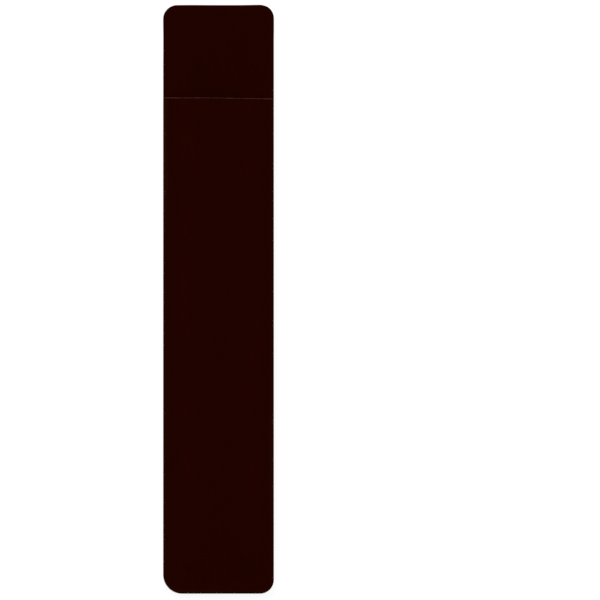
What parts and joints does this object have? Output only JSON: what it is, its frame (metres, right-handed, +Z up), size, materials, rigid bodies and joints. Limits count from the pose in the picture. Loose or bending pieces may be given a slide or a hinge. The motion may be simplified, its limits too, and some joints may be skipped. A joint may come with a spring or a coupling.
{
  "type": "pen pouch",
  "caption": "Slim velvet sleeve for a pen, lying on its back with its mouth open below a tongue.",
  "frame": {"origin": "on the table, under the middle of the pouch's outline", "axes": "+Z up from the table through the back panel to the front panel, +Y along the pouch towards the tongue's end, +X across it"},
  "size_m": [0.03, 0.16, 0.0131],
  "materials": {
    "velvet": "short dense pile, matt, dark maroon",
    "core": "dusty rose nonwoven felt, seen only at the cut edges",
    "glue_film": "thin hot-melt film, dulled and stained by the pile"
  },
  "bodies": {
    "root": {"back_outer_velvet": "velvet", "back_core": "core", "back_inner_velvet": "velvet", "seam_bond": "glue_film", "front_inner_velvet": "velvet", "front_core": "core", "front_outer_velvet": "velvet"}
  },
  "joints": []
}
